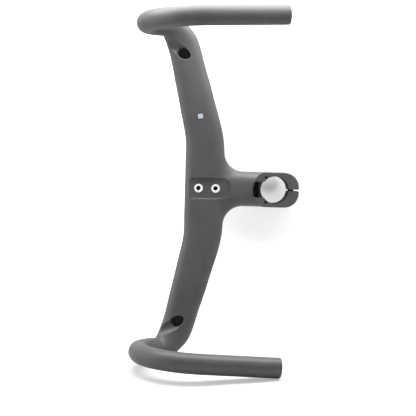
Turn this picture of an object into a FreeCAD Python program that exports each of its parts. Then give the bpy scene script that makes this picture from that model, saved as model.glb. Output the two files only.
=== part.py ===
"""One-piece carbon drop handlebar and stem, with the metal pieces that are fixed in it.

Sizes are in millimetres. Z is the steerer axis with up positive, X points forwards and Y points to the
rider's left. The origin lies on the steerer axis, on the flat lower face of the clamp.
"""

import FreeCAD
import Part
import math
import os

from FreeCAD import Placement, Rotation, Vector

# Steerer clamp
steerer_diameter = 31.8
clamp_wall = 4.5
clamp_height = 40.0
clamp_front_reach = 26.9
clamp_nose_length = 12.0
clamp_nose_corner = 8.0
clamp_rear_reach = 27.9
clamp_rear_corner = 17.0
clamp_edge_round = 0.8
slot_width = 2.2
pin_hole_diameter = 3.0
pin_hole_depth = 5.0
pin_hole_angle = 53.0
passage_width = 18.6
passage_lip = 0.6
passage_height = 16.0
passage_corner = 2.0

# Stem
stem_length = 82.6
stem_foot_step = 1.0
stem_head_step = 2.0
stem_nose_inset = 1.7
stem_fullness = 2.5
stem_wing_fillet = 23.0

# Wing-shaped tops, in the plane of the wing's middle
wing_height = 12.0
wing_chord_root = 45.6
wing_chord_tip = 37.0
wing_thickness = 23.4
wing_fullness = 2.5
wing_straight = 42.0
wing_sweep_blend = 30.0
wing_sweep = 14.4
wing_half_span = 156.0

# Bends, hooks and drops
tube_diameter = 23.8
bend_handle = 16.0
bend_reach = 48.0
bend_run = 32.9
hook_front_depth = 42.0
hook_upper_radius = 50.0
hook_lower_radius = 60.0
ramp_slope = 35.0
tail_rise = 10.5
tail_length = 90.6
drop_flare = 3.2
drop_cant = 3.0
drop_end_round = 1.0

# Laminate
laminate = 2.3

# Accessory recess under the wing, and its threaded inserts
recess_setback = 29.0
recess_half_width = 11.2
recess_corner = 7.5
recess_depth = 3.4
recess_wall_run = 1.5
recess_rim_round = 0.5
recess_backing = 2.4
insert_spacing = 20.0
insert_setback = 2.8
insert_flange_diameter = 10.4
insert_flange_thickness = 0.8
insert_barrel_diameter = 7.4
insert_barrel_length = 8.0
insert_thread_diameter = 4.2
insert_boss_wall = 2.2

# Cable ports, each a slanted hole with a groove that is scooped from it to the leading edge
port_diameter = 12.4
port_slope = 42.0
port_heading = 32.0
port_past_wing = 2.05
port_lead = 4.9
port_depth = 18.0
port_rim_round = 1.0
groove_diameter = 17.2
groove_depth = 2.8
groove_heading = 20.0
groove_climb = 7.0
groove_offset = 1.0
groove_run = 25.0

# Clamp screws
screw_setback = 19.7
screw_spacing = 20.0
screw_diameter = 5.0
screw_clearance = 0.25
screw_length = 20.0
screw_head_seat = 9.0
screw_head_diameter = 8.5
screw_head_height = 5.0
screw_key_width = 4.0
screw_key_depth = 2.6
washer_diameter = 9.0
washer_thickness = 1.0
nut_seat = 6.0
nut_diameter = 9.0
nut_length = 7.0
counterbore_clearance = 0.2

# How far cutting tools run past a face, and how closely joined faces are matched
overrun = 6.0
match = 0.01
section_points = 16

steerer_radius = steerer_diameter / 2
tube_radius = tube_diameter / 2
clamp_half_width = steerer_radius + clamp_wall
clamp_nose_radius = (clamp_half_width ** 2 + clamp_nose_length ** 2) / (2 * clamp_nose_length)
wing_skin = wing_height - wing_thickness / 2
recess_floor = wing_skin + recess_depth
recess_rear = stem_length - recess_setback
recess_front = stem_length + wing_chord_root

UP = Vector(0, 0, 1)
DOWN = Vector(0, 0, -1)
LEFT = Vector(0, 1, 0)
FORWARD = Vector(1, 0, 0)
ORIGIN = Vector(0, 0, 0)


def blend(start, end, share):
    return start + (end - start) * share


def ease(share):
    """A share from 0 to 1 that leaves and arrives gently."""
    return share * share * (3 - 2 * share)


def mirrored(shape):
    return shape.mirror(ORIGIN, LEFT)


def joined(first, others):
    return first.fuse(others, match).removeSplitter()


def box_between(low, high):
    size = high - low
    return Part.makeBox(size.x, size.y, size.z, low)


def section_wire(centre, along, across, chord, height, fullness):
    """A closed superellipse, from a full flat oval to a circle at a fullness of 2."""
    points = []
    for step in range(section_points):
        angle = 2 * math.pi * step / section_points
        cosine = math.cos(angle)
        sine = math.sin(angle)
        reach = math.copysign(abs(cosine) ** (2 / fullness), cosine) * chord / 2
        rise = math.copysign(abs(sine) ** (2 / fullness), sine) * height / 2
        points.append(centre + along * reach + across * rise)
    curve = Part.BSplineCurve()
    parameters = [float(step) for step in range(section_points + 1)]
    curve.interpolate(Points=points, PeriodicFlag=True, Parameters=parameters)
    return Part.Wire([curve.toShape()])


def wing_point(out):
    """The wing's centre line at a distance out from the middle, and its sweep angle there."""
    slope = math.tan(math.radians(wing_sweep))
    past = max(0.0, out - wing_straight)
    turned = min(past, wing_sweep_blend)
    forward = slope * turned * turned / (2 * wing_sweep_blend) + slope * (past - turned)
    angle = math.atan(slope * turned / wing_sweep_blend)
    return Vector(stem_length + forward, out, wing_height), angle


def wing_stations():
    """Distances out from the middle at which the wing's section is drawn."""
    swept = wing_straight + wing_sweep_blend
    stations = [0.0, wing_straight / 2]
    stations += [wing_straight + wing_sweep_blend * step / 3 for step in range(3)]
    stations += [blend(swept, wing_half_span, step / 3) for step in range(4)]
    return stations


def hook_place():
    """Puts a hook that is drawn about its foremost point, in the XZ plane, on the left side."""
    tip = wing_point(wing_half_span)[0]
    front = Vector(tip.x + bend_reach, tip.y + bend_run, -hook_front_depth)
    return Placement(front, Rotation(UP, -drop_flare).multiply(Rotation(FORWARD, drop_cant)))


def arc_point(radius, heading):
    """A point of an arc through the hook's foremost point, and the way the tube runs there."""
    angle = math.radians(heading)
    point = Vector(radius * (math.sin(angle) - 1), 0, radius * math.cos(angle))
    return point, Vector(math.cos(angle), 0, -math.sin(angle))


def hook_start():
    point, way = arc_point(hook_upper_radius, ramp_slope)
    place = hook_place()
    return place.multVec(point), place.Rotation.multVec(way)


def tail_start():
    point, way = arc_point(hook_lower_radius, 180 + tail_rise)
    return point, way


def tops_sections(inset):
    """Section wires from the middle of the wing, along the left top and round its bend to the hook."""
    wires = []
    for out in wing_stations():
        centre, angle = wing_point(out)
        along = Vector(math.cos(angle), -math.sin(angle), 0)
        share = max(0.0, out - wing_straight) / (wing_half_span - wing_straight)
        chord = blend(wing_chord_root, wing_chord_tip, share)
        sizes = (chord - 2 * inset, wing_thickness - 2 * inset, wing_fullness)
        wires.append(section_wire(centre, along, UP, *sizes))
    across = UP
    heading = Vector(math.sin(angle), math.cos(angle), 0)
    end, way = hook_start()
    path = Part.BezierCurve()
    path.setPoles([centre, centre + heading * bend_handle, end - way * bend_handle, end])
    bend_steps = 5
    for step in range(1, bend_steps + 1):
        share = step / bend_steps
        turn = Rotation(heading, path.tangent(share)[0])
        heading = path.tangent(share)[0]
        along = turn.multVec(along)
        across = turn.multVec(across)
        chord = blend(wing_chord_tip, tube_diameter, share * ease(share))
        height = blend(wing_thickness, tube_diameter, ease(share))
        fullness = blend(wing_fullness, 2.0, ease(share))
        sizes = (chord - 2 * inset, height - 2 * inset, fullness)
        wires.append(section_wire(path.value(share), along, across, *sizes))
    return wires


def tube_arc(radius, bend_radius, first, last):
    start, way = arc_point(bend_radius, first)
    disc = Part.Face(Part.Wire([Part.makeCircle(radius, start, way)]))
    return disc.revolve(Vector(-bend_radius, 0, 0), LEFT, last - first)


def hook_pieces(radius, past_end):
    """The left hook's two arcs and its straight tail."""
    start, way = tail_start()
    pieces = [
        tube_arc(radius, hook_upper_radius, ramp_slope, 90),
        tube_arc(radius, hook_lower_radius, 90, 180 + tail_rise),
        Part.makeCylinder(radius, tail_length + past_end, start, way),
    ]
    for piece in pieces:
        piece.Placement = hook_place().multiply(piece.Placement)
    return pieces


def bar_form(inset, past_end):
    """The whole bar as one solid, drawn in by inset on every side."""
    left = tops_sections(inset)
    right = [mirrored(wire) for wire in reversed(left[1:])]
    tops = Part.makeLoft(right + left, True)
    hook = hook_pieces(tube_radius - inset, past_end)
    return joined(tops, hook + [mirrored(piece) for piece in hook])


def stem_form(inset, rear):
    """The stem from a distance forward of the steerer axis to the middle of the wing."""
    nose_height = wing_thickness - 2 * stem_nose_inset
    share = rear / stem_length
    low = blend(stem_foot_step, wing_height - nose_height / 2, share)
    top = blend(clamp_height - stem_head_step, wing_height + nose_height / 2, share)
    wires = []
    for forward, middle, height in [
        (rear, (low + top) / 2, top - low),
        (stem_length, wing_height, nose_height),
    ]:
        sizes = (2 * (clamp_half_width - inset), height - 2 * inset, stem_fullness)
        wires.append(section_wire(Vector(forward, 0, middle), LEFT, UP, *sizes))
    return Part.makeLoft(wires, True, True)


def clamp_outline():
    """The clamp seen along the steerer: a round front, straight sides and rounded rear corners."""
    half = clamp_half_width
    shoulder = clamp_front_reach - clamp_nose_length
    rear = -clamp_rear_reach
    corner = min(clamp_rear_corner, half - slot_width)
    slant = corner * (1 - math.sqrt(0.5))
    nose = Part.Arc(
        Vector(shoulder, -half, 0), Vector(clamp_front_reach, 0, 0), Vector(shoulder, half, 0)
    )
    left = Part.Arc(
        Vector(rear + corner, half, 0), Vector(rear + slant, half - slant, 0), Vector(rear, half - corner, 0)
    )
    right = Part.Arc(
        Vector(rear, corner - half, 0), Vector(rear + slant, slant - half, 0), Vector(rear + corner, -half, 0)
    )
    edges = [
        nose.toShape(),
        Part.makeLine(nose.EndPoint, left.StartPoint),
        left.toShape(),
        Part.makeLine(left.EndPoint, right.StartPoint),
        right.toShape(),
        Part.makeLine(right.EndPoint, nose.StartPoint),
    ]
    return Part.Wire(edges)


def clamp_form():
    block = Part.Face(clamp_outline()).extrude(UP * clamp_height)
    upright = [edge for edge in block.Edges if edge.BoundBox.ZLength > match]
    shoulders = [edge for edge in upright if edge.CenterOfMass.x > 0]
    block = block.makeFillet(clamp_nose_corner, shoulders)
    rims = [edge for edge in block.Edges if edge.BoundBox.ZLength < match]
    return block.makeFillet(clamp_edge_round, rims)


def meeting_edges(whole, first, second):
    """Edges of a joined solid that lie on the skins of both solids it was made from."""
    found = []
    for edge in whole.Edges:
        middle = Part.Vertex(edge.valueAt((edge.FirstParameter + edge.LastParameter) / 2))
        gaps = [solid.Shells[0].distToShape(middle)[0] for solid in (first, second)]
        if max(gaps) < match:
            found.append(edge)
    return found


def drop_end_edges(bar):
    """The round edges at the rear ends of both drops."""
    point, way = tail_start()
    end = hook_place().multVec(point + way * tail_length)
    ends = (end, Vector(end.x, -end.y, end.z))
    return [edge for edge in bar.Edges if min(edge.CenterOfMass.distanceToPoint(p) for p in ends) < match]


def outer_form():
    """The moulding's outer skin, filled solid."""
    bar = bar_form(0.0, 0.0)
    bar = bar.makeFillet(drop_end_round, drop_end_edges(bar))
    stem = stem_form(0.0, 0.0)
    whole = bar.fuse(stem)
    whole = whole.makeFillet(stem_wing_fillet, meeting_edges(whole, bar, stem))
    return joined(whole, [clamp_form()])


def cavity_form():
    """The hollow inside the tubes and the stem, open at the drop ends."""
    return joined(bar_form(laminate, overrun), [stem_form(laminate, steerer_radius + laminate)])


def recess_outline(height, grow):
    """The recess seen from below at one height: straight sides that run out through the leading edge."""
    half = recess_half_width + grow
    rear = recess_rear - grow
    corner = min(recess_corner, recess_half_width - match) + grow
    slant = corner * (1 - math.sqrt(0.5))
    front = recess_front
    left = Part.Arc(
        Vector(rear + corner, half, height),
        Vector(rear + slant, half - slant, height),
        Vector(rear, half - corner, height),
    )
    right = Part.Arc(
        Vector(rear, corner - half, height),
        Vector(rear + slant, slant - half, height),
        Vector(rear + corner, -half, height),
    )
    edges = [
        left.toShape(),
        Part.makeLine(left.EndPoint, right.StartPoint),
        right.toShape(),
        Part.makeLine(right.EndPoint, Vector(front, -half, height)),
        Part.makeLine(Vector(front, -half, height), Vector(front, half, height)),
        Part.makeLine(Vector(front, half, height), left.StartPoint),
    ]
    return Part.Wire(edges)


def recess_tool():
    """Cuts the recess, with walls that lean outwards to its mouth."""
    mouth = recess_floor - 2 * recess_depth
    return Part.makeLoft(
        [recess_outline(recess_floor, 0.0), recess_outline(mouth, 2 * recess_wall_run)], True, True
    )


def insert_places():
    middle = Vector(stem_length - insert_setback, 0, recess_floor)
    step = FORWARD * (insert_spacing / 2)
    return {"mount_insert_front": middle + step, "mount_insert_rear": middle - step}


def recess_backing_form():
    """Laminate behind the recess and a boss round each insert."""
    margin = recess_half_width + recess_backing
    low = Vector(recess_rear - recess_backing, -margin, recess_floor - 2 * recess_depth)
    high = Vector(recess_front, margin, recess_floor + recess_backing)
    backing = box_between(low, high)
    boss_radius = insert_barrel_diameter / 2 + insert_boss_wall
    places = insert_places().values()
    return backing.fuse([Part.makeCylinder(boss_radius, insert_barrel_length, place) for place in places])


def level_way(heading):
    """A level unit vector at an angle from forwards towards the left."""
    angle = math.radians(heading)
    return Vector(math.cos(angle), math.sin(angle), 0)


def port_axis():
    """The middle of the left port's mouth, and the way a hose leaves it."""
    slope = math.radians(port_slope)
    centre = wing_point(wing_half_span + port_past_wing)[0]
    mouth = Vector(centre.x + port_lead, centre.y, wing_skin)
    return mouth, level_way(port_heading) * math.cos(slope) + DOWN * math.sin(slope)


def groove_form(radius):
    """The left port's groove, with a round inner end, at its own radius or at its lining's."""
    climb = math.radians(groove_climb)
    lift = groove_diameter / 2 / math.cos(climb) - groove_depth
    start = port_axis()[0] + level_way(port_heading + 90) * groove_offset + DOWN * lift
    way = level_way(groove_heading) * math.cos(climb) + UP * math.sin(climb)
    trough = Part.makeCylinder(radius, groove_run, start, way)
    return trough.fuse(Part.makeSphere(radius, start)).removeSplitter()


def port_tool():
    """Cuts the left port's hole and its groove."""
    mouth, way = port_axis()
    hole = Part.makeCylinder(port_diameter / 2, port_depth + overrun, mouth - way * port_depth, way)
    return hole.fuse(groove_form(groove_diameter / 2))


def rounded(shape, radius, edges):
    """The shape with its edges rounded, or left sharp where its sizes leave no room for that."""
    try:
        return shape.makeFillet(radius, edges)
    except Part.OCCError:
        return shape


def scooped_form():
    """The outer form with the recess and both ports cut in it and their rims rounded."""
    outer = outer_form()
    recess = recess_tool()
    ports = [port_tool(), mirrored(port_tool())]
    scooped = outer.cut(ports + [recess])
    port_rims = meeting_edges(scooped, outer, ports[0]) + meeting_edges(scooped, outer, ports[1])
    scooped = rounded(scooped, port_rim_round, port_rims)
    return rounded(scooped, recess_rim_round, meeting_edges(scooped, outer, recess))


def screw_levels():
    middle = clamp_height / 2
    return {"upper": (middle + screw_spacing / 2, 1), "lower": (middle - screw_spacing / 2, -1)}


def across_cylinder(radius, level, side, start, end):
    """A cylinder across the clamp between two distances towards the side of the screw's head."""
    base = Vector(-screw_setback, side * start, level)
    return Part.makeCylinder(radius, end - start, base, LEFT * side)


def screw_hole_tools():
    """Clearance hole, head counterbore and nut pocket of each clamp screw."""
    tools = []
    past = clamp_half_width + overrun
    for level, side in screw_levels().values():
        tools.append(across_cylinder(screw_diameter / 2 + screw_clearance, level, side, -past, past))
        head_bore = washer_diameter / 2 + counterbore_clearance
        tools.append(across_cylinder(head_bore, level, side, screw_head_seat - washer_thickness, past))
        tools.append(across_cylinder(nut_diameter / 2, level, -side, nut_seat, past))
    return tools


def passage_tool():
    """Cuts the hose passage in front of the bore, with a front that follows the clamp's round nose."""
    block = box_between(
        Vector(0, -passage_width / 2, -overrun), Vector(clamp_front_reach, passage_width / 2, passage_height)
    )
    nose_centre = Vector(clamp_front_reach - clamp_nose_radius, 0, -overrun)
    nose = Part.makeCylinder(clamp_nose_radius - passage_lip, overrun + passage_height, nose_centre)
    passage = block.common(nose)
    upright = [edge for edge in passage.Edges if edge.BoundBox.ZLength > passage_height]
    front = [edge for edge in upright if edge.CenterOfMass.x > steerer_radius]
    return passage.makeFillet(passage_corner, front)


def clamp_tools():
    """Bore, slot, hose passage and locating holes of the clamp."""
    bore = Part.makeCylinder(steerer_radius, clamp_height + 2 * overrun, DOWN * overrun)
    slot = box_between(
        Vector(-clamp_rear_reach - overrun, -slot_width / 2, -overrun),
        Vector(0, slot_width / 2, clamp_height + overrun),
    )
    pin_circle = steerer_radius + clamp_wall / 2
    tools = [bore, slot, passage_tool()]
    for side in (-1, 1):
        angle = math.radians(side * pin_hole_angle)
        base = Vector(pin_circle * math.cos(angle), pin_circle * math.sin(angle), -overrun)
        tools.append(Part.makeCylinder(pin_hole_diameter / 2, overrun + pin_hole_depth, base))
    return tools


def bar_stem_body():
    """The hollow moulding with every opening cut in it."""
    lining = groove_form(groove_diameter / 2 + laminate)
    filling = recess_backing_form().fuse([lining, mirrored(lining)])
    hollow = cavity_form().cut(filling)
    tools = clamp_tools() + screw_hole_tools()
    for place in insert_places().values():
        tools.append(Part.makeCylinder(insert_barrel_diameter / 2, insert_barrel_length, place))
    return scooped_form().cut(hollow).cut(tools)


def mount_insert(place):
    """A flanged insert whose barrel stands in its boss and whose flange lies on the recess floor."""
    flange = Part.makeCylinder(insert_flange_diameter / 2, insert_flange_thickness, place, DOWN)
    barrel = Part.makeCylinder(insert_barrel_diameter / 2, insert_barrel_length, place)
    thread = Part.makeCylinder(
        insert_thread_diameter / 2,
        insert_flange_thickness + insert_barrel_length,
        place + DOWN * insert_flange_thickness,
    )
    return flange.fuse(barrel).cut(thread).removeSplitter()


def hexagon(radius, base, way, depth):
    """A hexagonal prism whose corners lie on a circle, drawn along Z and turned to its axis."""
    angles = [corner * math.pi / 3 for corner in range(7)]
    corners = [Vector(math.cos(angle), math.sin(angle), 0) * radius for angle in angles]
    prism = Part.Face(Part.makePolygon(corners)).extrude(UP * depth)
    prism.Placement = Placement(base, Rotation(UP, way))
    return prism


def clamp_bolt(level, side):
    seat = screw_head_seat
    shank = across_cylinder(screw_diameter / 2, level, side, seat - screw_length, seat)
    head = across_cylinder(screw_head_diameter / 2, level, side, seat, seat + screw_head_height)
    top = Vector(-screw_setback, side * (seat + screw_head_height), level)
    key = hexagon(screw_key_width / math.sqrt(3), top, LEFT * -side, screw_key_depth)
    return shank.fuse(head).cut(key).removeSplitter()


def clamp_washer(level, side):
    seat = screw_head_seat
    ring = across_cylinder(washer_diameter / 2, level, side, seat - washer_thickness, seat)
    hole = across_cylinder(screw_diameter / 2 + screw_clearance, level, side, seat - washer_thickness, seat)
    return ring.cut(hole)


def clamp_nut(level, side):
    end = nut_seat + nut_length
    barrel = across_cylinder(nut_diameter / 2, level, -side, nut_seat, end)
    thread = across_cylinder(screw_diameter / 2, level, -side, nut_seat, end)
    return barrel.cut(thread)


def all_nodes():
    nodes = {"bar_stem_body": bar_stem_body()}
    for name, place in insert_places().items():
        nodes[name] = mount_insert(place)
    for name, (level, side) in screw_levels().items():
        nodes["clamp_bolt_" + name] = clamp_bolt(level, side)
        nodes["clamp_washer_" + name] = clamp_washer(level, side)
        nodes["clamp_nut_" + name] = clamp_nut(level, side)
    return nodes


def main():
    os.makedirs("parts", exist_ok=True)
    for name, shape in all_nodes().items():
        shape.exportStep("parts/" + name + ".step")
        print(name, len(shape.Solids), shape.isValid(), round(shape.Volume, 1))


if __name__ == "__main__":
    main()
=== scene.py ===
# %% [markdown]
# # A one-piece carbon handlebar and stem
#
# The object is a drop handlebar whose tops, bends, drops and stem are moulded as one hollow carbon
# piece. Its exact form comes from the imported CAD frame, in metres, with the steerer tube along Z,
# forwards along X and the rider's left along Y. This lesson gives that form its finishes, adds the
# small things that only show close up, and sets up the camera and the light.

# %% Load the frame
import math

import bmesh
import bpy
from mathutils import Matrix, Vector
from mathutils.bvhtree import BVHTree


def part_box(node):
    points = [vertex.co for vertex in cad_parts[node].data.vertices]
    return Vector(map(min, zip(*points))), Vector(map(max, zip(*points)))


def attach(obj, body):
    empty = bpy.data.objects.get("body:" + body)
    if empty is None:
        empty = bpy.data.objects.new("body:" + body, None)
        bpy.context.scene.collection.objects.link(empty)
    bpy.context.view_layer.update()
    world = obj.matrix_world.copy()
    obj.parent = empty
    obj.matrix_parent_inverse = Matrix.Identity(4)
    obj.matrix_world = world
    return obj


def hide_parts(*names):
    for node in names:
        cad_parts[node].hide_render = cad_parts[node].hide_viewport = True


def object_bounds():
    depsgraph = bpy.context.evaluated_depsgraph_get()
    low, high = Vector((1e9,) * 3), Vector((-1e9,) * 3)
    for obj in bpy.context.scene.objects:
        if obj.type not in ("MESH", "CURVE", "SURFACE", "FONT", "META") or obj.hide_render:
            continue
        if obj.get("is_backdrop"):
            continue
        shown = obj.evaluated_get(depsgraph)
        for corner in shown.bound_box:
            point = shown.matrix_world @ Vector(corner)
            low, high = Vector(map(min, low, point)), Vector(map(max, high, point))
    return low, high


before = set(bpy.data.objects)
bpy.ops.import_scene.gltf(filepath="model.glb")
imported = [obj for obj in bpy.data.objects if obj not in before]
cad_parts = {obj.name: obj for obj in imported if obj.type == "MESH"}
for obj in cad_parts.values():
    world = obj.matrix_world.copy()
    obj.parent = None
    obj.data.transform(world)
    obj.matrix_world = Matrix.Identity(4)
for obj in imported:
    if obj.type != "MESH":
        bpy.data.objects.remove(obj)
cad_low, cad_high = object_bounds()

MM = 0.001
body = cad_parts["bar_stem_body"]
print("frame nodes:", sorted(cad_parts))
print("CAD box, mm:", [round(c / MM, 1) for c in (*cad_low, *cad_high)])

# %% [markdown]
# ## Colours and nodes
#
# Shader sockets take linear light, but a colour is easier to choose as an sRGB hex value, as a
# paint chart or a colour picker gives it. One function turns the one into the other, and one small
# function adds a node with its settings and its links, so that each material below reads as a
# short list of steps.


# %% Two small helpers
def linear(hex_colour):
    """An sRGB hex colour as the linear RGBA that a shader socket takes."""
    shares = [int(hex_colour[place:place + 2], 16) / 255 for place in (1, 3, 5)]
    return [c / 12.92 if c <= 0.04045 else ((c + 0.055) / 1.055) ** 2.4 for c in shares] + [1.0]


def add(tree, kind, inputs=None, **settings):
    """Adds a shader node. An input takes a value, or the socket that is linked to it."""
    node = tree.nodes.new("ShaderNode" + kind)
    for name, value in settings.items():
        setattr(node, name, value)
    for name, value in (inputs or {}).items():
        if isinstance(value, bpy.types.NodeSocket):
            tree.links.new(value, node.inputs[name])
        else:
            node.inputs[name].default_value = value
    return node


print("mid grey, linear:", [round(c, 3) for c in linear("#808080")[:3]])

# %% Starting and closing a material
WHITE = linear("#ffffff")
# A Mix node hides sockets for other kinds of data, so its colour sockets go by their numbers.
FACTOR, FIRST, SECOND, MIXED = 0, 6, 7, 2


def new_material(name):
    """An empty node material, and the tree to fill."""
    material = bpy.data.materials.new(name)
    material.use_nodes = True
    material.node_tree.nodes.clear()
    return material, material.node_tree


def finish_with(tree, shader):
    add(tree, "OutputMaterial", {"Surface": shader.outputs[0]})


def scale_for(size_mm):
    """The Scale of a noise texture whose features are about that size on the object."""
    return 1 / (size_mm * MM)


print("noise scale for 1 mm:", scale_for(1.0))

# %% [markdown]
# ## Matte carbon moulding
#
# The laminate is cured in a mould and sprayed with a matte clear coat over a dark grey base. The
# coat is almost even: its gloss is low, it has a fine pebble that only breaks up the highlights,
# and the grey shifts a little over a few centimetres where the coat is thicker. An image of a
# weave would be wrong here, because no weave shows. Noise at two real sizes gives the cloudiness
# and the pebble, and the shader's own specular layer gives the pale edges that a matte coat shows
# at a grazing angle.
#
# The bore and the two pin holes beside it are cut after the spraying, so there the bare laminate
# shows. Their walls are made nearly black, which is bare laminate and painted shade as well, so
# that the holes look dark and deep. A second material would need the moulding's faces sorted, so
# the distance from each hole's own middle says where the coat ends.

# %% Where the coat ends, and painted shade in the holes
BORE_WALL_MM = 16.0  # a hair past the bore's radius
PIN_WALL_MM = 1.7  # past the pin hole's radius, so that it takes in both ends of the wall
PIN_CIRCLE_MM = 18.15
PIN_ANGLE_DEG = 53.0
PIN_MIDDLE_MM = 2.5  # half of the pin hole's depth
PIN_SQUEEZE = 0.3  # the pin hole is deeper than it is wide, so its depth counts less


def bare_and_shaded_walls(tree, place):
    """1 on the walls of the bore and the pin holes, which take bare laminate and painted shade, and 0
    on the coated moulding.
    """
    holes = [((1.0, 1.0, 0.0), Vector(), BORE_WALL_MM)]
    for side in (1, -1):
        angle = side * math.radians(PIN_ANGLE_DEG)
        middle = Vector((math.cos(angle), math.sin(angle), 0)) * PIN_CIRCLE_MM
        middle.z = PIN_MIDDLE_MM * PIN_SQUEEZE
        holes.append(((1.0, 1.0, PIN_SQUEEZE), middle * MM, PIN_WALL_MM))
    bare = 0.0
    for squeeze, middle, wall_mm in holes:
        squeezed = add(tree, "VectorMath", {0: place, 1: squeeze}, operation="MULTIPLY").outputs[0]
        away = add(tree, "VectorMath", {0: squeezed, 1: middle}, operation="DISTANCE")
        inside = add(
            tree, "Math", {0: away.outputs["Value"], 1: wall_mm * MM}, operation="LESS_THAN"
        )
        bare = add(tree, "Math", {0: inside.outputs[0], 1: bare}, operation="MAXIMUM").outputs[0]
    return bare


# %% Matte carbon
CLOUD_MM = 28.0
CLOUD_DETAIL = 3.0
PEBBLE_MM = 1.6  # the real pebble is about 0.3 mm, drawn coarser so that it shows
PEBBLE_DETAIL = 2.0
PEBBLE_RANGE = (0.3, 0.7)  # the noise seldom leaves it
PEBBLE_DEPTH_MM = 0.02
PEBBLE_STRENGTH = 0.35
COAT_COLOURS = ("#474546", "#575556")
COAT_ROUGHNESS = (0.42, 0.52)
COAT_IOR = 1.5
# Nearly black: bare laminate, and painted shade inside the holes.
BARE_AND_SHADE_COLOUR = "#161617"
BARE_ROUGHNESS = 0.9


def matte_carbon():
    """Dark and dull, with soft pale edges. The walls of the holes are nearly black: bare laminate and
    painted shade.
    """
    material, tree = new_material("matte_carbon_laminate")
    place = add(tree, "TexCoord").outputs["Object"]
    bare = bare_and_shaded_walls(tree, place)
    cloud = add(
        tree,
        "TexNoise",
        {"Vector": place, "Scale": scale_for(CLOUD_MM), "Detail": CLOUD_DETAIL},
    ).outputs["Fac"]
    pebble = add(
        tree,
        "TexNoise",
        {"Vector": place, "Scale": scale_for(PEBBLE_MM), "Detail": PEBBLE_DETAIL},
    ).outputs["Fac"]
    thin, thick = (linear(colour) for colour in COAT_COLOURS)
    coat = add(tree, "Mix", {FACTOR: cloud, FIRST: thin, SECOND: thick}, data_type="RGBA")
    colour = add(
        tree,
        "Mix",
        {FACTOR: bare, FIRST: coat.outputs[MIXED], SECOND: linear(BARE_AND_SHADE_COLOUR)},
        data_type="RGBA",
    )
    spread = {"From Min": PEBBLE_RANGE[0], "From Max": PEBBLE_RANGE[1]}
    spread |= {"To Min": COAT_ROUGHNESS[0], "To Max": COAT_ROUGHNESS[1]}
    satin = add(tree, "MapRange", {"Value": pebble, **spread}).outputs["Result"]
    dull = add(tree, "Math", {0: bare, 1: BARE_ROUGHNESS}, operation="MULTIPLY").outputs[0]
    roughness = add(tree, "Math", {0: satin, 1: dull}, operation="MAXIMUM")
    bump = add(
        tree,
        "Bump",
        {"Height": pebble, "Strength": PEBBLE_STRENGTH, "Distance": PEBBLE_DEPTH_MM * MM},
    )
    shader = add(
        tree,
        "BsdfPrincipled",
        {
            "Base Color": colour.outputs[MIXED],
            "Roughness": roughness.outputs[0],
            "Normal": bump.outputs["Normal"],
            "IOR": COAT_IOR,
        },
    )
    finish_with(tree, shader)
    return material


carbon = matte_carbon()
print(carbon.name, "has", len(carbon.node_tree.nodes), "nodes")

# %% [markdown]
# ## Metal pieces
#
# The threaded inserts are turned from aluminium and left bright. Turning leaves fine rings round
# the axis, so a noise stretched round the axis would do, but plain fine noise in the roughness
# already breaks up the mirror at this size. The clamp screws are steel with a black oxide, which
# is a thin dark skin that still reflects as metal does. The washers are stamped from plain steel,
# and the nuts are turned from aluminium.

# %% Metals
GRAIN_DETAIL = 4.0


def metal(name, light, dark, low, high, grain_mm):
    """A bare or oxidised metal: two close tones and a roughness that vary with its grain."""
    material, tree = new_material(name)
    place = add(tree, "TexCoord").outputs["Object"]
    grain = add(
        tree,
        "TexNoise",
        {"Vector": place, "Scale": scale_for(grain_mm), "Detail": GRAIN_DETAIL},
    ).outputs["Fac"]
    tones = {FIRST: linear(dark), SECOND: linear(light)}
    colour = add(tree, "Mix", {FACTOR: grain, **tones}, data_type="RGBA")
    roughness = add(tree, "MapRange", {"Value": grain, "To Min": low, "To Max": high})
    shader = add(
        tree,
        "BsdfPrincipled",
        {
            "Base Color": colour.outputs[MIXED],
            "Metallic": 1.0,
            "Roughness": roughness.outputs["Result"],
        },
    )
    finish_with(tree, shader)
    return material


# The last value is the grain in mm. A real one is about 0.1 mm, and is drawn coarser so that it shows.
FINISHES = {
    "bar_stem_body": carbon,
    # Turned and left bright: nearly a mirror, with a soft edge to what it shows.
    "mount_insert": metal("turned_bright_aluminium", "#f2f2f0", "#dfdfdd", 0.16, 0.30, 0.8),
    # Black oxide: almost black, with a dull metal sheen.
    "clamp_bolt": metal("black_oxide_steel", "#3a3a3c", "#242426", 0.35, 0.50, 0.5),
    # Stamped from sheet: mid grey, with a slightly blurred shine.
    "clamp_washer": metal("stamped_steel", "#b4b4b2", "#9c9c9a", 0.28, 0.42, 0.6),
    # Turned, but not polished: paler than the steel, with a satin shine.
    "clamp_nut": metal("turned_aluminium", "#cfcfce", "#bababa", 0.25, 0.40, 0.8),
}

for name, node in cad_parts.items():
    finish = next(f for prefix, f in FINISHES.items() if name.startswith(prefix))
    node.data.materials.clear()
    node.data.materials.append(finish)
    print(name, "gets", finish.name)

# %% [markdown]
# ## Threaded inserts
#
# Two flanged inserts with an M5 thread are bonded into the recess. Each is turned on a lathe and
# then tapped, so it is made in the same order here. The spin operator turns half a section round
# the axis, and a bevel breaks the sharp edge of the flange. A thread isn't a stack of rings but
# one ridge that winds along the hole, so a second spin turns the ridge's three-cornered section
# and moves it along the axis a little at every step. The hole's wall and thread are made black
# and dull as painted shade, so the hole looks black. The finished pieces stand for the plain
# inserts of the frame.


# %% From a bmesh to an object
def new_object(name, mesh, finishes):
    """An object at the origin, unturned, from a bmesh and its finishes."""
    data = bpy.data.meshes.new(name)
    mesh.to_mesh(data)
    mesh.free()
    for finish in finishes:
        data.materials.append(finish)
    made = bpy.data.objects.new(name, data)
    bpy.context.scene.collection.objects.link(made)
    print(name, "has", len(data.polygons), "faces")
    return made


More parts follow.
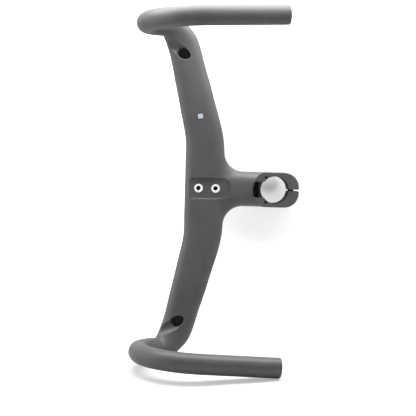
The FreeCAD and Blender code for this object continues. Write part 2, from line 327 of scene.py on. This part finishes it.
# %% Turned sleeve
FLANGE_MM = 0.8
FLANGE_BEVEL_MM = 0.25
BEVEL_SEGMENTS = 3
BARREL_RADIUS_MM = 3.7
THREAD_RADIUS_MM = 2.5
COUNTERSINK_MM = 0.3
TURN_STEPS = 48
SAME_POINT_MM = 0.001
SAME_RIM_MM = 0.01
IN_HOLE = 1  # the material slot of the painted shade in the hole


def turned_insert(mesh, axis, radius, low, high):
    """Spins half the section of a flanged sleeve round its axis and breaks the flange's edge."""
    flange = low + FLANGE_MM * MM
    barrel, hole, mouth = BARREL_RADIUS_MM * MM, THREAD_RADIUS_MM * MM, COUNTERSINK_MM * MM
    section = [
        (hole + mouth, low), (radius, low), (radius, flange), (barrel, flange),
        (barrel, high), (hole, high), (hole, low + mouth),
    ]
    corners = [mesh.verts.new(axis + Vector((out, 0, height))) for out, height in section]
    outline = [mesh.edges.new(pair) for pair in zip(corners, corners[1:] + corners[:1])]
    bmesh.ops.spin(
        mesh,
        geom=corners + outline,
        cent=axis,
        axis=(0, 0, 1),
        angle=math.tau,
        steps=TURN_STEPS,
        use_merge=True,
    )
    bmesh.ops.remove_doubles(mesh, verts=mesh.verts, dist=SAME_POINT_MM * MM)
    bmesh.ops.recalc_face_normals(mesh, faces=mesh.faces)
    close = SAME_RIM_MM * MM
    on_rim = {
        v for v in mesh.verts
        if (v.co - axis).xy.length > radius - close and v.co.z < low + close
    }
    bmesh.ops.bevel(
        mesh,
        geom=[edge for edge in mesh.edges if on_rim.issuperset(edge.verts)],
        offset=FLANGE_BEVEL_MM * MM,
        segments=BEVEL_SEGMENTS,
        profile=0.5,
        affect="EDGES",
        material=-1,
    )
    # The hole's wall takes the painted shade too.
    for face in mesh.faces:
        if all((v.co - axis).xy.length < hole + close for v in face.verts):
            face.material_index = IN_HOLE


# %% Wound thread
THREAD_DEPTH_MM = 0.4
THREAD_PITCH_MM = 0.8
THREAD_STEPS = 24  # for each turn
RIDGE_WIDTH = 0.9  # as a share of the pitch
RIDGE_SUNK_MM = 0.02  # the ridge's foot lies a little inside the wall


def cut_thread(mesh, axis, low, high):
    """Winds the ridge of a thread through the hole, from inside one end to inside the other."""
    pitch = THREAD_PITCH_MM * MM
    foot = (THREAD_RADIUS_MM + RIDGE_SUNK_MM) * MM
    crest = (THREAD_RADIUS_MM - THREAD_DEPTH_MM) * MM
    turns = int((high - low) / pitch) - 1
    start = low + COUNTERSINK_MM * MM
    width = RIDGE_WIDTH * pitch
    section = [(foot, start), (crest, start + width / 2), (foot, start + width)]
    ridge = bmesh.new()
    corners = [ridge.verts.new(axis + Vector((out, 0, height))) for out, height in section]
    end = ridge.faces.new(corners)
    bmesh.ops.spin(
        ridge,
        geom=[*end.verts, *end.edges, end],
        cent=axis,
        axis=(0, 0, 1),
        dvec=(0, 0, pitch / THREAD_STEPS),
        angle=turns * math.tau,
        steps=turns * THREAD_STEPS,
    )
    bmesh.ops.recalc_face_normals(ridge, faces=ridge.faces)
    for face in ridge.faces:
        face.material_index = IN_HOLE
    wound = bpy.data.meshes.new("thread")
    ridge.to_mesh(wound)
    ridge.free()
    mesh.from_mesh(wound)
    bpy.data.meshes.remove(wound)
    return turns


# %% Both inserts
# Painted shade: black and dull, so that the hole looks deep.
hole_shade = metal("painted_shade_in_hole", "#2c2c2e", "#1c1c1e", 0.45, 0.60, 0.4)
for place in ("front", "rear"):
    low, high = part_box("mount_insert_" + place)
    axis = Vector(((low[0] + high[0]) / 2, (low[1] + high[1]) / 2, 0))
    mesh = bmesh.new()
    turned_insert(mesh, axis, (high[0] - low[0]) / 2, low[2], high[2])
    turns = cut_thread(mesh, axis, low[2], high[2])
    insert = new_object(
        "threaded_insert_" + place, mesh, [FINISHES["mount_insert"], hole_shade]
    )
    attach(insert, "root")
    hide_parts("mount_insert_" + place)
    print(insert.name, "has", turns, "turns of thread")

# %% [markdown]
# ## Foil label
#
# A small blank square of silver foil with a dark edge is stuck under the left arm. Foil follows
# the moulding, so a flat plate would leave a gap at its corners. The label starts as a fine grid,
# which is turned along the arm, and each of its points is then cast straight up on to the
# moulding. An inset of the whole sheet gives the dark edge, and solidify gives the foil its
# thickness.

# %% Foil label
LABEL_AT_MM = (89.8, 84.2)
LABEL_SIZE_MM = (7.6, 7.2)
LABEL_EDGE_MM = 0.7
FOIL_MM = 0.12
LABEL_TURN_DEG = -10.0
LABEL_CELLS = 10
UP = Vector((0, 0, 1))
# Rolled foil: bright and a little blue, and it blurs what it shows.
silver_foil = metal("silver_foil", "#f0f5fb", "#dbe4ee", 0.30, 0.45, 0.6)
# Ink on foil: dark, with a dull metal sheen.
printed_foil = metal("dark_printed_foil", "#242328", "#1a191d", 0.40, 0.55, 0.6)


def add_label():
    surface = BVHTree.FromPolygons(
        [body.matrix_world @ v.co for v in body.data.vertices],
        [p.vertices for p in body.data.polygons],
    )
    mesh = bmesh.new()
    bmesh.ops.create_grid(mesh, x_segments=LABEL_CELLS, y_segments=LABEL_CELLS, size=0.5)
    bmesh.ops.reverse_faces(mesh, faces=mesh.faces)
    size = Vector((LABEL_SIZE_MM[0] * MM, LABEL_SIZE_MM[1] * MM, 1))
    bmesh.ops.scale(mesh, vec=size, verts=mesh.verts)
    edge = bmesh.ops.inset_region(
        mesh,
        faces=mesh.faces[:],
        thickness=LABEL_EDGE_MM * MM,
        use_boundary=True,
        use_even_offset=True,
    )
    for face in edge["faces"]:
        face.material_index = 1
    place = Vector((LABEL_AT_MM[0] * MM, LABEL_AT_MM[1] * MM, cad_low[2]))
    turn = Matrix.Rotation(math.radians(LABEL_TURN_DEG), 4, "Z")
    bmesh.ops.transform(mesh, matrix=Matrix.Translation(place) @ turn, verts=mesh.verts)
    for vertex in mesh.verts:
        vertex.co = surface.ray_cast(vertex.co, UP)[0] - UP * FOIL_MM * MM
    bmesh.ops.solidify(mesh, geom=mesh.faces[:], thickness=FOIL_MM * MM)
    return new_object("foil_label", mesh, [silver_foil, printed_foil])


label = add_label()
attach(label, "root")
heights = [v.co.z / MM for v in label.data.vertices]
print("foil label lies between, mm:", round(min(heights), 2), round(max(heights), 2))

# %% [markdown]
# ## Camera
#
# The bar is looked at from below, along the steerer, with its left side up. The camera is
# described by what it must show: where the middle of the clamp's lower face falls in a square
# image of 416 pixels, how far away it is, and which way the three axes of the object run in the
# image. The axes give the camera's rotation, and the rest gives its place. Moving the camera by
# hand would do too, but then no number could be checked against the image.

# %% The object's axes in the image
IMAGE_PX = 416
MIDDLE_PX = IMAGE_PX / 2
FOCAL_PX = 2070.0
LEAN_DEG = 1.42
Z_AXIS_VANISHES_PX = (100.0, 145.0)


def way_to(pixel):
    """The way from the lens to a pixel, in the camera's own axes: right, up and backwards."""
    return Vector((pixel[0] - MIDDLE_PX, MIDDLE_PX - pixel[1], -FOCAL_PX))


def camera_axes():
    """The object's axes as the columns of a matrix, in the camera's own axes."""
    up_axis = way_to(Z_AXIS_VANISHES_PX).normalized()
    lean = math.radians(LEAN_DEG)
    left_axis = Vector((math.sin(lean), math.cos(lean), 0))
    left_axis = (left_axis - up_axis * left_axis.dot(up_axis)).normalized()
    return Matrix((left_axis.cross(up_axis), left_axis, up_axis)).transposed()


print("object's X in the camera:", [round(c, 3) for c in camera_axes().col[0]])

# %% Camera
BORE_PX = (275.2, 190.05)
BORE_DISTANCE_MM = 2424.0
SENSOR_MM = 36.0
CLIP_END_MM = 50000.0


def add_camera():
    data = bpy.data.cameras.new("camera")
    data.sensor_width = SENSOR_MM
    data.lens = SENSOR_MM * FOCAL_PX / IMAGE_PX
    data.clip_end = CLIP_END_MM * MM
    camera = bpy.data.objects.new("camera", data)
    bpy.context.scene.collection.objects.link(camera)
    bore = way_to(BORE_PX) * (BORE_DISTANCE_MM * MM / FOCAL_PX)
    to_world = camera_axes().transposed()
    camera.matrix_world = Matrix.Translation(-(to_world @ bore)) @ to_world.to_4x4()
    bpy.context.scene.camera = camera
    print("camera at, mm:", [round(c / MM) for c in camera.matrix_world.translation])


add_camera()

# %% [markdown]
# ## Floor and backdrop
#
# The bar stands on the end of its right drop, so the floor lies beyond that drop and its normal is
# the object's left, tipped a little towards the camera. A backdrop hangs close behind the clamp.
# White paper in a studio has lamps of its own; here both sheets glow for the camera instead, which
# is painted light: less near the bar, where they show its shadow, and fully white further off.
# Behind the bore the backdrop's glow is weakest, which paints the shade seen through the bore. A
# plain white world would be simpler, but it shows no shadow. Each sheet is seen from one side only,
# so that it hides nothing in other views, and the backdrop is there for the camera alone, so that
# it takes no light from the bar's upper side.

# %% Glowing paper
PAPER_COLOUR = "#c0c0c0"


def glowing_paper(name, middle, glow, camera_only):
    """Dull pale paper with a painted glow for the camera: weak near its middle, where shadows show,
    and plain white further off.
    """
    material, tree = new_material(name)
    paper = add(tree, "BsdfDiffuse", {"Color": linear(PAPER_COLOUR)})
    place = add(tree, "TexCoord").outputs["Object"]
    away = add(tree, "VectorMath", {0: place, 1: middle}, operation="DISTANCE").outputs["Value"]
    reach_mm = glow[-1][0]
    share = add(tree, "Math", {0: away, 1: reach_mm * MM}, operation="DIVIDE")
    white = add(tree, "ValToRGB", {"Fac": share.outputs[0]})
    white.color_ramp.interpolation = "EASE"
    stops = white.color_ramp.elements
    for count, (far_mm, level) in enumerate(glow):
        stop = stops[count] if count < len(stops) else stops.new(1.0)
        stop.position = far_mm / reach_mm
        stop.color = (level, level, level, 1.0)
    camera_ray = add(tree, "LightPath").outputs["Is Camera Ray"]
    strength = add(tree, "Math", {0: camera_ray, 1: white.outputs["Color"]}, operation="MULTIPLY")
    shine = add(tree, "Emission", {"Color": WHITE, "Strength": strength.outputs[0]})
    lit = add(tree, "AddShader", {0: paper.outputs[0], 1: shine.outputs[0]})
    hidden = add(tree, "NewGeometry").outputs["Backfacing"]
    if camera_only:
        other = add(tree, "Math", {0: 1.0, 1: camera_ray}, operation="SUBTRACT").outputs[0]
        hidden = add(tree, "Math", {0: hidden, 1: other}, operation="MAXIMUM").outputs[0]
    clear = add(tree, "BsdfTransparent")
    shader = add(tree, "MixShader", {0: hidden, 1: lit.outputs[0], 2: clear.outputs[0]})
    finish_with(tree, shader)
    return material


# %% Floor and backdrop
# A glow is a row of pairs: mm from the sheet's middle, and the strength there.
FLOOR_TIP_DEG = 10.5
FLOOR_SIZE_MM = 6000.0
FLOOR_GLOW = ((120.0, 0.35), (600.0, 1.0))
BACKDROP_AT_MM = (4.0, 8.0, 46.0)
BACKDROP_SIZE_MM = 1500.0
BACKDROP_GLOW = ((6.0, 0.26), (18.0, 0.58), (60.0, 0.60), (110.0, 1.0))  # weakest behind the bore: painted shade seen through it


def add_paper(name, middle, normal, size_mm, material):
    """A square sheet of the set, which isn't part of the object."""
    mesh = bmesh.new()
    bmesh.ops.create_grid(mesh, x_segments=1, y_segments=1, size=size_mm * MM / 2)
    turn = UP.rotation_difference(normal).to_matrix().to_4x4()
    bmesh.ops.transform(mesh, matrix=Matrix.Translation(middle) @ turn, verts=mesh.verts)
    new_object(name, mesh, [material])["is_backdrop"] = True
    print(name, "passes through, mm:", [round(c / MM, 1) for c in middle])


def add_floor():
    tip = math.radians(FLOOR_TIP_DEG)
    normal = camera_axes().transposed() @ Vector((0, math.cos(tip), math.sin(tip)))
    points = [body.matrix_world @ v.co for v in body.data.vertices]
    lowest = min(points, key=lambda point: point.dot(normal))
    finish = glowing_paper("pale_floor", lowest, FLOOR_GLOW, camera_only=False)
    add_paper("floor", lowest, normal, FLOOR_SIZE_MM, finish)


def add_backdrop():
    middle = Vector(BACKDROP_AT_MM) * MM
    finish = glowing_paper("pale_backdrop", middle, BACKDROP_GLOW, camera_only=True)
    add_paper("backdrop", middle, -UP, BACKDROP_SIZE_MM, finish)


add_floor()
add_backdrop()

# %% [markdown]
# ## Light
#
# A long softbox over the bar gives the pale bands along the upper edges of the arms and the stem.
# A weaker one ahead of the bar lights the leading edges and the hooks, and a faint one beside the
# camera opens the shaded sides. Metal shows what stands round it, so a white card by the lens lets
# the flat inserts shine white, while the matte moulding hardly changes. The world is white paper
# behind the bar and a dim room on the camera's side. The camera and mirroring metal see that paper
# as plain white.

# %% Softboxes
BAR_MIDDLE_MM = (80.0, 0.0, 0.0)
LAMPS = {  # place in mm, size in mm, radiance
    "softbox_over": ((80, 365, -60), (850, 300), 7.4),
    "softbox_ahead": ((650, 0, -60), (500, 300), 1.4),
    "softbox_front": ((-300, 320, -460), (400, 400), 0.45),
    "card_by_the_lens": ((100, 60, -2400), (700, 700), 1.6),
}


def add_softbox(name, where_mm, size_mm, radiance):
    """An area light that faces the bar's middle, with its first side along the bar's X."""
    data = bpy.data.lights.new(name, "AREA")
    data.shape = "RECTANGLE"
    data.size = size_mm[0] * MM
    data.size_y = size_mm[1] * MM
    data.energy = radiance * math.pi * data.size * data.size_y
    back = (Vector(where_mm) - Vector(BAR_MIDDLE_MM)).normalized()
    along = (Vector((1, 0, 0)) - back * back.x).normalized()
    turn = Matrix((along, back.cross(along), back)).transposed().to_4x4()
    lamp = bpy.data.objects.new(name, data)
    lamp.matrix_world = Matrix.Translation(Vector(where_mm) * MM) @ turn
    lamp.visible_camera = False
    bpy.context.scene.collection.objects.link(lamp)
    print(name, "gives W:", round(data.energy, 1))


for name, (where_mm, size_mm, radiance) in LAMPS.items():
    add_softbox(name, where_mm, size_mm, radiance)

# %% World
PAPER_FROM = -0.1  # the Z of a way, past which it meets the paper
ROOM_LEVEL = 0.03
PAPER_LEVEL = 1.15


def add_world():
    """White paper behind and beside the bar, and the dim room on the camera's side."""
    world = bpy.data.worlds.new("white_room")
    world.use_nodes = True
    tree = world.node_tree
    tree.nodes.clear()
    way = add(tree, "TexCoord").outputs["Generated"]
    back = add(tree, "SeparateXYZ", {0: way}).outputs["Z"]
    levels = {"From Min": -1.0, "From Max": PAPER_FROM}
    levels |= {"To Min": ROOM_LEVEL, "To Max": PAPER_LEVEL}
    level = add(tree, "MapRange", {"Value": back, **levels})
    room = add(tree, "Background", {"Color": WHITE, "Strength": level.outputs["Result"]})
    paper = add(tree, "Background", {"Color": WHITE, "Strength": 1.0})
    path = add(tree, "LightPath").outputs
    mirror_rays = {0: path["Is Glossy Ray"], 1: path["Is Transmission Ray"]}
    mirror = add(tree, "Math", mirror_rays, operation="MAXIMUM").outputs[0]
    on_paper = add(tree, "Math", {0: back, 1: PAPER_FROM}, operation="GREATER_THAN").outputs[0]
    mirrored = add(tree, "Math", {0: mirror, 1: on_paper}, operation="MULTIPLY").outputs[0]
    seen = add(tree, "Math", {0: path["Is Camera Ray"], 1: mirrored}, operation="MAXIMUM")
    both = add(tree, "MixShader", {0: seen.outputs[0], 1: room.outputs[0], 2: paper.outputs[0]})
    add(tree, "OutputWorld", {"Surface": both.outputs[0]})
    bpy.context.scene.world = world
    print(world.name, "has", len(tree.nodes), "nodes")


add_world()

# %% [markdown]
# ## Sizes
#
# The looks may not change the object's size, so the box of the bare frame and the box of the
# dressed object are both printed.

# %% Finish
bpy.context.scene.view_settings.view_transform = "Standard"
low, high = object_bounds()
print("dressed box, mm:", [round(c / MM, 1) for c in (*low, *high)])
